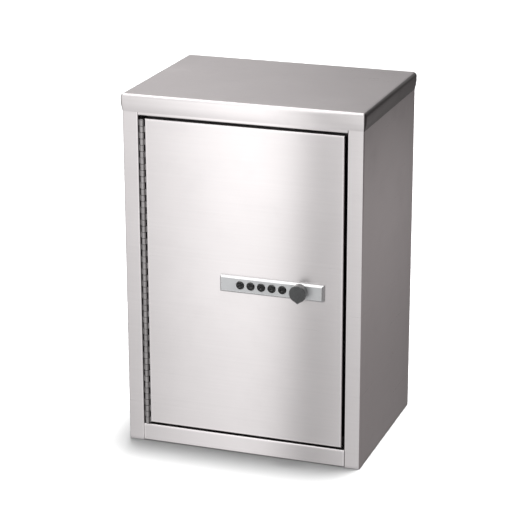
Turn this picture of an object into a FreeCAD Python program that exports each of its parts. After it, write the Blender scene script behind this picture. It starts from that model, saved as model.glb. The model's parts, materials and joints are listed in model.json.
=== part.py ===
"""Small sheet-steel security cabinet with a piano-hinged door and a push-button lock.

Millimetres, +Z up, the door faces -Y.  The origin is the centre of the cabinet's footprint,
on the surface that it stands on.
"""
import FreeCAD, Part
import math
import os
import re

import Sketcher

DRIVING_SIZES = {
    # cabinet
    "width": 258.0,
    "depth": 188.0,
    "tall": 381.0,
    "gauge": 1.2,
    "bend": 1.5,
    "stile": 17.0,
    "sill": 19.0,
    "opening_top": 359.0,
    "jamb": 16.0,
    "rebate": 19.2,
    "lip": 8.0,
    "hem": 15.0,
    "cap_skirt": 18.7,
    "cap_belly": 1.9,
    "cap_belly_rise": 12.5,
    "cap_bend": 4.5,
    "cap_weld": 14.0,
    "wall_hole": 3.5,
    "wall_hole_span": 180.0,
    "wall_hole_rise": 280.0,
    # door
    "hinge_gap": 7.0,
    "latch_gap": 3.15,
    "head_gap": 2.8,
    "foot_gap": 2.2,
    "recess": 0.5,
    "door_edge": 16.0,
    "stiffener_place": -62.0,
    "stiffener_half": 14.0,
    "stiffener_foot": 10.0,
    "stiffener_high": 12.0,
    "stiffener_thick": 1.0,
    # hinge
    "axis_behind": 1.4,
    "knuckle": 2.5,
    "knuckle_count": 50,
    "knuckle_pitch": 6.69,
    "knuckle_slack": 0.5,
    "hinge_foot": 20.0,
    "pin": 1.4,
    "running": 0.05,
    "leaf": 1.0,
    "leaf_width": 15.0,
    # lock
    "lock_centre": 33.0,
    "lock_rise": 189.1,
    "plate_long": 112.2,
    "plate_tall": 17.8,
    "plate_thick": 4.0,
    "plate_bevel": 1.9,
    "button_first": -0.6,
    "button_pitch": 11.4,
    "button": 4.0,
    "button_proud": 1.5,
    "knob_across": 63.8,
    "knob": 9.0,
    "knob_thick": 8.0,
    "knob_nose": 10.8,
    "knob_nose_half": 3.6,
    "spindle": 3.0,
    "cam_throw": 8.3,
    "cam_peg": 2.0,
    "case_thick": 1.5,
    "case_deep": 24.8,
    "case_left": -20.0,
    "case_right": 96.0,
    "case_half": 20.5,
    "case_flange": 9.0,
    "guide_place": 88.0,
    "plug_place": 22.0,
    "bolt_tip": 108.0,
    "bolt_half": 6.0,
    "fixing_hole": 1.3,
    # shelves
    "shelf_lower": 125.0,
    "shelf_upper": 242.0,
    "shelf_edge": 12.0,
}

FRONT = "(-depth / 2)"
BACK = "(depth / 2)"
JAMB = "(width / 2 - stile)"
ROOF = "(tall - gauge)"
CAP_FOOT = "(tall - cap_skirt)"
DOOR_FACE = f"({FRONT} + recess)"
DOOR_INSIDE = f"({DOOR_FACE} + gauge)"
DOOR_REAR = f"({DOOR_FACE} + door_edge)"
DOOR_LEFT = f"(-{JAMB} + hinge_gap)"
DOOR_RIGHT = f"({JAMB} - latch_gap)"
DOOR_FOOT = "(sill + foot_gap)"
DOOR_HEAD = "(opening_top - head_gap)"
AXIS_X = f"(-{JAMB} + hinge_gap / 2)"
AXIS_Y = f"({DOOR_FACE} + axis_behind)"
HINGE_HEAD = "(hinge_foot + knuckle_count * knuckle_pitch)"
PLATE_FACE = f"({DOOR_FACE} - plate_thick)"
CASE_BACK = f"({DOOR_INSIDE} + case_deep)"
CASE_INSIDE = f"({CASE_BACK} - case_thick)"
BOLT_LAYER = (f"({CASE_INSIDE} - 5)", f"({CASE_INSIDE} - 1)")
CAM_LAYER = (f"({BOLT_LAYER[0]} - 5.2)", f"({BOLT_LAYER[0]} - 1.2)")
CHAMBER_LAYER = (f"({DOOR_INSIDE} + 2.3)", f"({DOOR_INSIDE} + 15.3)")
RIVET_LINE = f"({AXIS_Y} + 9)"
STRIKE_LINE = f"({FRONT} + 10)"
PEG_SIDE = "(cam_throw * 0.7071)"

HINGE_RIVETS = 6
SIDES = {"left": -1, "right": 1}

UPRIGHT = FreeCAD.Vector(0, 0, 1)
DIRECTIONS = {"x": FreeCAD.Vector(1, 0, 0), "y": FreeCAD.Vector(0, 1, 0), "z": UPRIGHT}

doc = FreeCAD.newDocument("security_cabinet")
sizes = doc.addObject("Spreadsheet::Sheet", "sizes")
for row, (alias, amount) in enumerate(DRIVING_SIZES.items(), start=1):
    sizes.set(f"A{row}", alias)
    sizes.set(f"B{row}", str(amount))
    sizes.setAlias(f"B{row}", alias)
doc.recompute()

pieces = {}


def formula(text):
    """Expression text with each size name pointing at its cell of the sheet."""
    names = "|".join(sorted(DRIVING_SIZES, key=len, reverse=True))
    return re.sub(rf"\b({names})\b", r"sizes.\1", text)


def number(text):
    """The present value of a formula, for Part functions and for choosing edges."""
    return float(sizes.evalExpression(text))


def part_of(label, thing):
    """Record a finished sub-part under the name of its file."""
    thing.Label = label
    pieces[label] = thing
    return thing


# Part primitives and booleans

def box(name, across, deep, rise):
    """Block between three pairs of formulas, along X, Y and Z."""
    block = doc.addObject("Part::Box", name)
    for side, axis, (low, high) in zip(("Length", "Width", "Height"), "xyz", (across, deep, rise)):
        block.setExpression(side, formula(f"({high}) - ({low})"))
        block.setExpression("Placement.Base." + axis, formula(low))
    return block


def rod(name, radius, deep, across, rise, along="y"):
    """Cylinder of a radius formula; the pair of formulas gives its two ends."""
    bar = doc.addObject("Part::Cylinder", name)
    bar.Placement = FreeCAD.Placement(FreeCAD.Vector(), FreeCAD.Rotation(UPRIGHT, DIRECTIONS[along]))
    bar.setExpression("Radius", formula(radius))
    starts = {"x": across, "y": deep, "z": rise}
    low, high = starts[along]
    bar.setExpression("Height", formula(f"({high}) - ({low})"))
    for axis, place in starts.items():
        start = place[0] if axis == along else place
        bar.setExpression("Placement.Base." + axis, formula(start))
    return bar


def join(name, shapes):
    union = doc.addObject("Part::MultiFuse", name)
    union.Shapes = shapes
    return union


def cut(name, base, tools):
    result = doc.addObject("Part::Cut", name)
    result.Base = base
    result.Tool = tools[0] if len(tools) == 1 else join(name + "_tools", tools)
    return result


def group(name, solids):
    bundle = doc.addObject("Part::Compound", name)
    bundle.Links = solids
    return bundle


def rounded(name, base, radius, wanted, kind="Part::Fillet"):
    """Fillet or chamfer on every edge of base that wanted(edge) picks."""
    doc.recompute()
    amount = number(radius)
    result = doc.addObject(kind, name)
    result.Base = base
    edges = enumerate(base.Shape.Edges, start=1)
    result.Edges = [(index, amount, amount) for index, edge in edges if wanted(edge)]
    return result


def lies_at(edge, **places):
    """True when the whole edge lies on every given coordinate."""
    bounds = edge.BoundBox
    for axis, place in places.items():
        low = getattr(bounds, axis.upper() + "Min")
        high = getattr(bounds, axis.upper() + "Max")
        if abs(low - place) > 1e-4 or abs(high - place) > 1e-4:
            return False
    return True


# PartDesign bodies

def new_body(label):
    return part_of(label, doc.addObject("PartDesign::Body", label))


def origin_feature(body, role):
    return next(item for item in body.Origin.OriginFeatures if item.Role == role)


def sketch_on(body, name, role, lift):
    sketch = body.newObject("Sketcher::SketchObject", name)
    sketch.AttachmentSupport = [(origin_feature(body, role), "")]
    sketch.MapMode = "FlatFace"
    sketch.setExpression("AttachmentOffset.Base.z", formula(lift))
    return sketch


def pin_point(sketch, shape, end, across, up):
    """Hold one sketch point at two formulas from the sketch origin."""
    for kind, text in (("DistanceX", across), ("DistanceY", up)):
        index = sketch.addConstraint(Sketcher.Constraint(kind, -1, 1, shape, end, number(text)))
        sketch.setExpression(f"Constraints[{index}]", formula(text))


def polygon(body, name, role, corners, lift="0"):
    """Closed outline through corners, each a pair of formulas."""
    sketch = sketch_on(body, name, role, lift)
    points = [FreeCAD.Vector(number(across), number(up), 0) for across, up in corners]
    for start, end in zip(points, points[1:] + points[:1]):
        sketch.addGeometry(Part.LineSegment(start, end), False)
    for side, (across, up) in enumerate(corners):
        sketch.addConstraint(Sketcher.Constraint("Coincident", side, 2, (side + 1) % len(corners), 1))
        pin_point(sketch, side, 1, across, up)
    return sketch


def rectangle(body, name, role, across, up, lift="0"):
    corners = [(across[0], up[0]), (across[1], up[0]), (across[1], up[1]), (across[0], up[1])]
    return polygon(body, name, role, corners, lift)


def circles(body, name, role, radius, centres, lift="0"):
    sketch = sketch_on(body, name, role, lift)
    for index, (across, up) in enumerate(centres):
        middle = FreeCAD.Vector(number(across), number(up), 0)
        sketch.addGeometry(Part.Circle(middle, FreeCAD.Vector(0, 0, 1), number(radius)), False)
        pin_point(sketch, index, 3, across, up)
        bound = sketch.addConstraint(Sketcher.Constraint("Radius", index, number(radius)))
        sketch.setExpression(f"Constraints[{bound}]", formula(radius))
    return sketch


def feature(body, kind, name, profile, length, reverse=False):
    """Pad or pocket of a profile; a pocket that removes nothing is an error."""
    doc.recompute()
    before = body.Shape.Volume if body.Shape and not body.Shape.isNull() else 0
    made = body.newObject("PartDesign::" + kind, name)
    made.Profile = profile
    made.Reversed = reverse
    made.setExpression("Length", formula(length))
    doc.recompute()
    if kind == "Pocket" and body.Shape.Volume > before - 1e-3:
        raise ValueError(name + " removes nothing")
    return made


def pad(body, name, profile, length, reverse=False):
    return feature(body, "Pad", name, profile, length, reverse)


def pocket(body, name, profile, length, reverse=False):
    return feature(body, "Pocket", name, profile, length, reverse)


def row_of(body, name, originals, role, count, length):
    pattern = body.newObject("PartDesign::LinearPattern", name)
    pattern.Originals = originals
    pattern.Direction = (origin_feature(body, role), [""])
    pattern.Occurrences = count
    pattern.setExpression("Length", formula(length))
    body.Tip = pattern
    doc.recompute()
    return pattern


def soften(body, name, radius, wanted, kind="Fillet"):
    """PartDesign fillet or chamfer on every edge of the body that wanted(edge) picks."""
    doc.recompute()
    base = body.Tip
    edges = enumerate(base.Shape.Edges, start=1)
    chosen = [f"Edge{index}" for index, edge in edges if wanted(edge)]
    dressed = body.newObject("PartDesign::" + kind, name)
    dressed.Base = (base, chosen)
    dressed.setExpression("Radius" if kind == "Fillet" else "Size", formula(radius))
    doc.recompute()
    return dressed


# Cabinet shell

def side_panel(side_name):
    """One folded sheet: outer wall, front stile, jamb return and rear return."""
    side = SIDES[side_name]
    body = doc.addObject("PartDesign::Body", side_name + "_side_body")
    outside = "width / 2"
    outline = [
        (outside, FRONT),
        (outside, f"{BACK} - gauge"),
        (f"{outside} - hem", f"{BACK} - gauge"),
        (f"{outside} - hem", f"{BACK} - 2 * gauge"),
        (f"{outside} - gauge", f"{BACK} - 2 * gauge"),
        (f"{outside} - gauge", f"{FRONT} + gauge"),
        (f"{JAMB} + gauge", f"{FRONT} + gauge"),
        (f"{JAMB} + gauge", f"{FRONT} + jamb"),
        (JAMB, f"{FRONT} + jamb"),
        (JAMB, FRONT),
    ]
    corners = [(f"{side} * ({across})", deep) for across, deep in outline]
    profile = polygon(body, side_name + "_side_outline", "XY_Plane", corners)
    pad(body, side_name + "_side_pad", profile, CAP_FOOT)
    folds = [(side * number("width / 2"), number(FRONT)), (side * number(JAMB), number(FRONT))]

    def is_fold(edge):
        return any(lies_at(edge, x=across, y=deep) for across, deep in folds)

    soften(body, side_name + "_side_folds", "bend", is_fold)
    return body


def drill_row(label, holder, radius, across, deep, heights):
    """Holes through a sheet along X, one at each height."""
    bits = []
    for index, rise in enumerate(heights):
        bits.append(rod(f"{label}_bit_{index}", radius, deep, across, rise, along="x"))
    return part_of(label, cut(label + "_drilled", holder, bits))


def rivet_heights():
    gap = f"({HINGE_HEAD} - hinge_foot) / {HINGE_RIVETS}"
    return [f"hinge_foot + {gap} * {index + 0.5}" for index in range(HINGE_RIVETS)]


def strike_heights():
    return ["lock_rise - 21", "lock_rise + 21"]


def header_rail():
    """Strip over the door, stepped back to a weld flange inside the cap, with its door stop."""
    body = new_body("header_rail")
    flange = f"({FRONT} + gauge + 0.05)"
    outline = [
        (FRONT, "opening_top"),
        (FRONT, CAP_FOOT),
        (flange, CAP_FOOT),
        (flange, f"{CAP_FOOT} + cap_weld"),
        (f"{flange} + gauge", f"{CAP_FOOT} + cap_weld"),
        (f"{flange} + gauge", f"{CAP_FOOT} - 1"),
        (f"{FRONT} + gauge", f"{CAP_FOOT} - 1"),
        (f"{FRONT} + gauge", "opening_top + gauge"),
        (f"{FRONT} + rebate", "opening_top + gauge"),
        (f"{FRONT} + rebate", "opening_top - lip"),
        (f"{FRONT} + rebate - gauge", "opening_top - lip"),
        (f"{FRONT} + rebate - gauge", "opening_top"),
    ]
    profile = polygon(body, "header_outline", "YZ_Plane", outline, lift=f"-{JAMB}")
    pad(body, "header_pad", profile, f"2 * {JAMB}")
    front, foot = number(FRONT), number("opening_top")
    soften(body, "header_fold", "bend", lambda edge: lies_at(edge, y=front, z=foot))


def bottom_pan():
    """Floor, front rail between the stiles, rebate with its door stop, and rear upturn."""
    body = new_body("bottom_pan")
    rear = f"{BACK} - gauge"
    outline = [
        (FRONT, "0"),
        (rear, "0"),
        (rear, "hem"),
        (f"{rear} - gauge", "hem"),
        (f"{rear} - gauge", "gauge"),
        (f"{FRONT} + gauge", "gauge"),
        (f"{FRONT} + gauge", "sill - gauge"),
        (f"{FRONT} + rebate", "sill - gauge"),
        (f"{FRONT} + rebate", "sill + lip"),
        (f"{FRONT} + rebate - gauge", "sill + lip"),
        (f"{FRONT} + rebate - gauge", "sill"),
        (FRONT, "sill"),
    ]
    wall = "(width / 2 - gauge)"
    profile = polygon(body, "bottom_outline", "YZ_Plane", outline, lift=f"-{wall}")
    pad(body, "bottom_pad", profile, f"2 * {wall}")
    for name, side in SIDES.items():
        across = (f"{side} * {JAMB}", f"{side} * ({wall} + 1)")
        deep = (f"{FRONT} - 1", f"{FRONT} + rebate")
        notch = rectangle(body, f"bottom_front_{name}", "XY_Plane", across, deep)
        pocket(body, f"bottom_front_notch_{name}", notch, "sill + lip + 1", reverse=True)
        across = (f"{side} * (width / 2 - hem)", f"{side} * ({wall} + 1)")
        deep = (f"{rear} - gauge", f"{rear} + 1")
        notch = rectangle(body, f"bottom_rear_{name}", "XY_Plane", across, deep)
        pocket(body, f"bottom_rear_notch_{name}", notch, "sill + lip + 1", reverse=True)
    front, head = number(FRONT), number("sill")

    def is_fold(edge):
        return lies_at(edge, y=front, z=head) or lies_at(edge, y=front, z=0)

    soften(body, "bottom_fold", "bend", is_fold)


def back_panel():
    """Rear sheet, narrower where it passes up between the sides of the cap."""
    body = new_body("back_panel")
    neck = "(width / 2 - gauge - 0.1)"
    outline = [
        ("-width / 2", "0"),
        ("width / 2", "0"),
        ("width / 2", CAP_FOOT),
        (neck, CAP_FOOT),
        (neck, ROOF),
        (f"-{neck}", ROOF),
        (f"-{neck}", CAP_FOOT),
        ("-width / 2", CAP_FOOT),
    ]
    profile = polygon(body, "back_outline", "XZ_Plane", outline, lift=f"-{BACK}")
    pad(body, "back_pad", profile, "gauge")
    centres = []
    for across in ("-wall_hole_span / 2", "wall_hole_span / 2"):
        for rise in ("tall / 2 - wall_hole_rise / 2", "tall / 2 + wall_hole_rise / 2"):
            centres.append((across, rise))
    holes = circles(body, "back_holes", "XZ_Plane", "wall_hole", centres, lift=f"-{BACK}")
    pocket(body, "back_hole_pocket", holes, "gauge", reverse=True)


def cap_section(body):
    """The skirt's wall cut through: foot, belly, short flat, and roll-over into the top."""
    reach = "((cap_belly ^ 2 + cap_belly_rise ^ 2) / (2 * cap_belly))"
    foot_inner = (f"-gauge * ({reach} - cap_belly) / {reach}", f"gauge * cap_belly_rise / {reach}")
    flats = [
        (foot_inner, ("0", "0")),
        (("cap_belly", "cap_belly_rise"), ("cap_belly", "cap_skirt - cap_bend")),
        (("cap_belly - cap_bend", "cap_skirt"), ("cap_belly - cap_bend", "cap_skirt - gauge")),
        (("cap_belly - gauge", "cap_skirt - cap_bend"), ("cap_belly - gauge", "cap_belly_rise")),
    ]
    flats = [[(f"width / 2 + {x}", f"{CAP_FOOT} + {z}") for x, z in flat] for flat in flats]
    belly_middle = (f"width / 2 + cap_belly - {reach}", f"{CAP_FOOT} + cap_belly_rise")
    roll_middle = ("width / 2 + cap_belly - cap_bend", "tall - cap_bend")
    bends = [
        (belly_middle, reach, "outer"),
        (roll_middle, "cap_bend", "outer"),
        (roll_middle, "cap_bend - gauge", "inner"),
        (belly_middle, f"{reach} - gauge", "inner"),
    ]
    sketch = sketch_on(body, "cap_section", "XZ_Plane", f"-{BACK}")
    for index, flat in enumerate(flats):
        ends = [FreeCAD.Vector(number(across), number(up), 0) for across, up in flat]
        sketch.addGeometry(Part.LineSegment(*ends), False)
        pin_point(sketch, index, 1, *flat[0])
        pin_point(sketch, index, 2, *flat[1])
    for index, (middle, radius, face) in enumerate(bends):
        following = (index + 1) % len(flats)
        joints = [(index, 2, flats[index][1]), (following, 1, flats[following][0])]
        if face == "inner":
            joints.reverse()
        centre = FreeCAD.Vector(number(middle[0]), number(middle[1]), 0)
        turns = []
        for _, _, (across, up) in joints:
            turns.append(math.atan2(number(up) - centre.y, number(across) - centre.x))
        circle = Part.Circle(centre, UPRIGHT, number(radius))
        arc = sketch.addGeometry(Part.ArcOfCircle(circle, *turns), False)
        for end, (line, line_end, _) in enumerate(joints, start=1):
            sketch.addConstraint(Sketcher.Constraint("Coincident", arc, end, line, line_end))
        bound = sketch.addConstraint(Sketcher.Constraint("Radius", arc, number(radius)))
        sketch.setExpression(f"Constraints[{bound}]", formula(radius))
    return sketch


def top_cap():
    """Lid whose skirt swells out from the body's walls and rolls over into the top plate."""
    body = new_body("top_cap")
    path = sketch_on(body, "cap_path", "XY_Plane", CAP_FOOT)
    run = [
        ("width / 2 - bend", BACK),
        ("width / 2 - bend", f"{FRONT} + bend"),
        ("-width / 2 + bend", f"{FRONT} + bend"),
        ("-width / 2 + bend", BACK),
    ]
    for start, end in zip(run, run[1:]):
        ends = [FreeCAD.Vector(number(across), number(deep), 0) for across, deep in (start, end)]
        path.addGeometry(Part.LineSegment(*ends), False)
    for index, corner in enumerate(run[:-1]):
        pin_point(path, index, 1, *corner)
    pin_point(path, 2, 2, *run[-1])
    for index in (0, 1):
        path.addConstraint(Sketcher.Constraint("Coincident", index, 2, index + 1, 1))
    section = cap_section(body)
    doc.recompute()
    skirt = body.newObject("PartDesign::AdditivePipe", "cap_skirt_sweep")
    skirt.Profile = section
    skirt.Spine = (path, ["Edge1", "Edge2", "Edge3"])
    skirt.Transition = "Round corner"
    doc.recompute()
    flat_edge = "(cap_belly - cap_bend)"
    across = (f"-width / 2 - {flat_edge}", f"width / 2 + {flat_edge}")
    plate = rectangle(body, "cap_plate", "XY_Plane", across, (f"{FRONT} - {flat_edge}", BACK), lift=ROOF)
    pad(body, "cap_plate_pad", plate, "gauge")


# Door

def door_skin():
    """Deep-drawn pan: front sheet with four edges turned back, and the lock window."""
    across, rise = (DOOR_LEFT, DOOR_RIGHT), (DOOR_FOOT, DOOR_HEAD)
    outer = box("door_block", across, (DOOR_FACE, DOOR_REAR), rise)
    face = number(DOOR_FACE)
    soft = rounded("door_front_folds", outer, "bend", lambda edge: lies_at(edge, y=face))
    inner = box(
        "door_hollow",
        (f"{DOOR_LEFT} + gauge", f"{DOOR_RIGHT} - gauge"),
        (DOOR_INSIDE, f"{DOOR_REAR} + 1"),
        (f"{DOOR_FOOT} + gauge", f"{DOOR_HEAD} - gauge"),
    )
    window = box(
        "door_window",
        ("button_first - 7", "knob_across + 8"),
        (f"{DOOR_FACE} - 1", f"{DOOR_INSIDE} + 1"),
        ("lock_rise - 6.5", "lock_rise + 6.5"),
    )
    tools = [inner, window]
    for index, across in enumerate(faceplate_screw_places()):
        deep = (f"{DOOR_FACE} - 1", f"{DOOR_INSIDE} + 1")
        tools.append(rod(f"door_screw_hole_{index}", "1.7", deep, across, "lock_rise"))
    pan = cut("door_pan", soft, tools)
    across = (f"{DOOR_LEFT} - 1", f"{DOOR_LEFT} + gauge + 1")
    drill_row("door_skin", pan, "fixing_hole", across, RIVET_LINE, rivet_heights())


def door_stiffener():
    """Vertical hat channel welded to the inside of the door skin."""
    body = new_body("door_stiffener")
    wall = "(stiffener_half - stiffener_thick)"
    foot = "(stiffener_half + stiffener_foot)"
    outer_half = [(foot, "0"), (foot, "stiffener_thick"), ("stiffener_half", "stiffener_thick")]
    outer_half.append(("stiffener_half", "stiffener_high"))
    inner_half = [(wall, "stiffener_high - stiffener_thick"), (wall, "0")]
    outline = []
    for side, run in ((1, outer_half), (-1, outer_half[::-1]), (-1, inner_half[::-1]), (1, inner_half)):
        for across, deep in run:
            outline.append((f"stiffener_place + {side} * {across}", f"{DOOR_INSIDE} + {deep}"))
    profile = polygon(body, "stiffener_outline", "XY_Plane", outline, lift=f"{DOOR_FOOT} + 15")
    pad(body, "stiffener_pad", profile, f"{DOOR_HEAD} - {DOOR_FOOT} - 30")


# Hinge

def hinge_leaf(label, side, first):
    """One leaf of the piano hinge; side -1 is screwed to the jamb and +1 to the door."""
    body = doc.addObject("PartDesign::Body", label + "_body")
    outer = f"({AXIS_X} + {side} * hinge_gap / 2)"
    inner = f"({outer} - {side} * leaf)"
    plate = rectangle(
        body,
        label + "_plate",
        "XY_Plane",
        (outer, inner),
        (f"{AXIS_Y} + 2.4", f"{AXIS_Y} + leaf_width"),
        lift="hinge_foot",
    )
    pad(body, label + "_plate_pad", plate, "knuckle_count * knuckle_pitch")
    start = f"hinge_foot + {first} * knuckle_pitch + knuckle_slack / 2"
    neck = rectangle(
        body,
        label + "_neck",
        "XY_Plane",
        (outer, f"{AXIS_X} + {side} * 1.7"),
        (AXIS_Y, f"{AXIS_Y} + 2.5"),
        lift=start,
    )
    neck_pad = pad(body, label + "_neck_pad", neck, "knuckle_pitch - knuckle_slack")
    barrel = circles(body, label + "_barrel", "XY_Plane", "knuckle", [(AXIS_X, AXIS_Y)], lift=start)
    barrel_pad = pad(body, label + "_barrel_pad", barrel, "knuckle_pitch - knuckle_slack")
    count = int(number("knuckle_count") / 2)
    reach = f"{2 * (count - 1)} * knuckle_pitch"
    row_of(body, label + "_row", [neck_pad, barrel_pad], "Z_Axis", count, reach)
    axis = [(AXIS_X, AXIS_Y)]
    bore = circles(body, label + "_bore", "XY_Plane", "pin + running", axis, lift="hinge_foot - 1")
    pocket(body, label + "_bore_pocket", bore, "knuckle_count * knuckle_pitch + 2", reverse=True)
    across = sorted((f"{outer} + {side}", f"{inner} - {side}"), key=number)
    drill_row(label, body, "fixing_hole", across, RIVET_LINE, rivet_heights())


def hinge_pin():
    rise = ("hinge_foot - 0.8", f"{HINGE_HEAD} + 0.8")
    shaft = rod("hinge_pin_shaft", "pin", AXIS_Y, AXIS_X, rise, along="z")
    below = (rise[0], "hinge_foot")
    above = (HINGE_HEAD, rise[1])
    foot = rod("hinge_pin_foot", "pin + 0.7", AXIS_Y, AXIS_X, below, along="z")
    head = rod("hinge_pin_head", "pin + 0.7", AXIS_Y, AXIS_X, above, along="z")
    part_of("hinge_pin", join("hinge_pin_joined", [shaft, foot, head]))


def rivets(label, start, end, deep, heights, direction):
    """Rivets along X: a flat head at start, a set tail at end."""
    solids = []
    for index, rise in enumerate(heights):
        shank = sorted((start, end), key=number)
        head = sorted((start, f"{start} - {direction}"), key=number)
        tail = sorted((end, f"{end} + {direction}"), key=number)
        name = f"{label}_{index}"
        solids.append(join(name, [
            rod(name + "_shank", "1.2", deep, shank, rise, along="x"),
            rod(name + "_head", "2.3", deep, head, rise, along="x"),
            rod(name + "_tail", "2.0", deep, tail, rise, along="x"),
        ]))
    part_of(label, group(label + "_group", solids))


# Lock

def button_places():
    return [f"button_first + {index} * button_pitch" for index in range(5)]


def faceplate_screw_places():
    return ["lock_centre - plate_long / 2 + 8.5", "lock_centre + plate_long / 2 - 8.5"]


def weld_stud_places():
    """Four pairs of formulas, in the middle of the case's two flanges."""
    offset = "(case_half + case_flange / 2)"
    rises = [f"lock_rise - {offset}", f"lock_rise + {offset}"]
    return [(across, rise) for rise in rises for across in ("case_left + 8", "case_right - 8")]


def lock_faceplate():
    across = ("lock_centre - plate_long / 2", "lock_centre + plate_long / 2")
    rise = ("lock_rise - plate_tall / 2", "lock_rise + plate_tall / 2")
    blank = box("faceplate_blank", across, (PLATE_FACE, DOOR_FACE), rise)
    face = number(PLATE_FACE)

    def on_face(edge):
        return lies_at(edge, y=face)

    bevelled = rounded("faceplate_bevel", blank, "plate_bevel", on_face, "Part::Chamfer")
    tools = []
    deep = (f"{PLATE_FACE} - 1", f"{DOOR_FACE} + 1")
    for index, place in enumerate(button_places()):
        tools.append(rod(f"faceplate_button_hole_{index}", "button + 0.15", deep, place, "lock_rise"))
    tools.append(rod("faceplate_spindle_hole", "spindle + running", deep, "knob_across", "lock_rise"))
    for index, place in enumerate(faceplate_screw_places()):
        deep = (f"{DOOR_FACE} - 2.5", f"{DOOR_FACE} + 1")
        tools.append(rod(f"faceplate_tapping_{index}", "1.5", deep, place, "lock_rise"))
    holed = cut("faceplate_cut", bevelled, tools)

    def is_button_rim(edge):
        round_edge = edge.Curve.TypeId == "Part::GeomCircle"
        return round_edge and edge.Curve.Radius > number("button") and on_face(edge)

    part_of("lock_faceplate", rounded("faceplate_rims", holed, "0.5", is_button_rim, "Part::Chamfer"))


def faceplate_screws():
    solids = []
    for index, place in enumerate(faceplate_screw_places()):
        name = f"faceplate_screw_{index}"
        shank = rod(name + "_shank", "1.5", (f"{DOOR_FACE} - 2.3", DOOR_INSIDE), place, "lock_rise")
        head = rod(name + "_head", "2.8", (DOOR_INSIDE, f"{DOOR_INSIDE} + 2"), place, "lock_rise")
        solids.append(join(name, [shank, head]))
    part_of("faceplate_screws", group("faceplate_screw_group", solids))


def lock_case():
    """Pressed steel cover over the mechanism, with a flange on four weld studs."""
    across = ("case_left", "case_right")
    flange_half = "(case_half + case_flange)"
    shell_rise = ("lock_rise - case_half", "lock_rise + case_half")
    flange_rise = (f"lock_rise - {flange_half}", f"lock_rise + {flange_half}")
    shell = box("case_shell", across, (DOOR_INSIDE, CASE_BACK), shell_rise)
    flange = box("case_flange", across, (DOOR_INSIDE, f"{DOOR_INSIDE} + case_thick"), flange_rise)
    hollow = box(
        "case_hollow",
        ("case_left + case_thick", "case_right - case_thick"),
        (f"{DOOR_INSIDE} - 1", CASE_INSIDE),
        (f"{shell_rise[0]} + case_thick", f"{shell_rise[1]} - case_thick"),
    )
    nose_window = box(
        "case_nose_window",
        ("case_right - case_thick - 1", "case_right + 1"),
        (f"{BOLT_LAYER[0]} - 0.15", f"{BOLT_LAYER[1]} + 0.15"),
        ("lock_rise - bolt_half - 0.15", "lock_rise + bolt_half + 0.15"),
    )
    tools = [hollow, nose_window]
    back_wall = (f"{CASE_INSIDE} - 1", f"{CASE_BACK} + 1")
    tools.append(rod("case_plug_hole", "3.6", back_wall, "plug_place", "lock_rise"))
    tools.append(rod("case_guide_hole", "1.6", back_wall, "guide_place", "lock_rise"))
    for index, (place, rise) in enumerate(weld_stud_places()):
        deep = (f"{DOOR_INSIDE} - 1", f"{DOOR_INSIDE} + case_thick + 1")
        tools.append(rod(f"case_stud_hole_{index}", "1.7", deep, place, rise))
    part_of("lock_case", cut("case_cut", join("case_joined", [shell, flange]), tools))


def case_fixings():
    """Weld studs on the door skin, and a nut on each."""
    studs = []
    nuts = []
    for index, (across, rise) in enumerate(weld_stud_places()):
        studs.append(rod(f"stud_{index}", "1.5", (DOOR_INSIDE, f"{DOOR_INSIDE} + 7"), across, rise))
        prism = doc.addObject("Part::Prism", f"nut_{index}_prism")
        prism.Polygon = 6
        prism.Circumradius = 3.1
        prism.Height = 2.4
        prism.Placement = FreeCAD.Placement(FreeCAD.Vector(), FreeCAD.Rotation(UPRIGHT, DIRECTIONS["y"]))
        for axis, text in (("x", across), ("y", f"{DOOR_INSIDE} + case_thick"), ("z", rise)):
            prism.setExpression("Placement.Base." + axis, formula(text))
        bore = rod(f"nut_{index}_bore", "1.55", (DOOR_INSIDE, f"{DOOR_INSIDE} + 8"), across, rise)
        nuts.append(cut(f"nut_{index}", prism, [bore]))
    part_of("lock_case_studs", group("lock_case_stud_group", studs))
    part_of("lock_case_nuts", group("lock_case_nut_group", nuts))


def code_chamber():
    """Block that guides the five plungers and seats their springs."""
    across = ("button_first - 8", "button_first + 4 * button_pitch + 6.5")
    rise = ("lock_rise - 11", "lock_rise + 11")
    block = box("chamber_block", across, CHAMBER_LAYER, rise)
    tools = []
    for index, place in enumerate(button_places()):
        seat = (f"{CHAMBER_LAYER[0]} - 1", f"{CHAMBER_LAYER[0]} + 5")
        through = (f"{CHAMBER_LAYER[0]} - 1", f"{CHAMBER_LAYER[1]} + 1")
        tools.append(rod(f"chamber_seat_{index}", "3.5", seat, place, "lock_rise"))
        tools.append(rod(f"chamber_bore_{index}", "1.7 + running", through, place, "lock_rise"))
    part_of("code_chamber", cut("chamber_cut", block, tools))


def push_button(index):
    """Dished cap, plunger stem and the peened end that stops it behind the chamber."""
    place = button_places()[index]
    name = f"button_{index + 1}"
    front = f"({PLATE_FACE} - button_proud)"
    rear = f"({front} + 4.3)"
    cap = rod(name + "_cap", "button", (front, rear), place, "lock_rise")
    face = number(front)
    cap = rounded(name + "_rim", cap, "0.45", lambda edge: lies_at(edge, y=face))
    behind = CHAMBER_LAYER[1]
    stem = rod(name + "_stem", "1.7", (rear, f"{behind} + 0.4"), place, "lock_rise")
    end = rod(name + "_end", "2.6", (f"{behind} + 0.3", f"{behind} + 1.1"), place, "lock_rise")
    dimple = doc.addObject("Part::Cone", name + "_dimple")
    dimple.Placement = FreeCAD.Placement(FreeCAD.Vector(), FreeCAD.Rotation(UPRIGHT, DIRECTIONS["y"]))
    dimple.Radius1 = 1.7
    dimple.Radius2 = 0.7
    dimple.Height = 0.8
    for axis, text in (("x", place), ("y", front), ("z", "lock_rise")):
        dimple.setExpression("Placement.Base." + axis, formula(text))
    part_of(name, cut(name + "_cut", join(name + "_joined", [cap, stem, end]), [dimple]))


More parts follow.
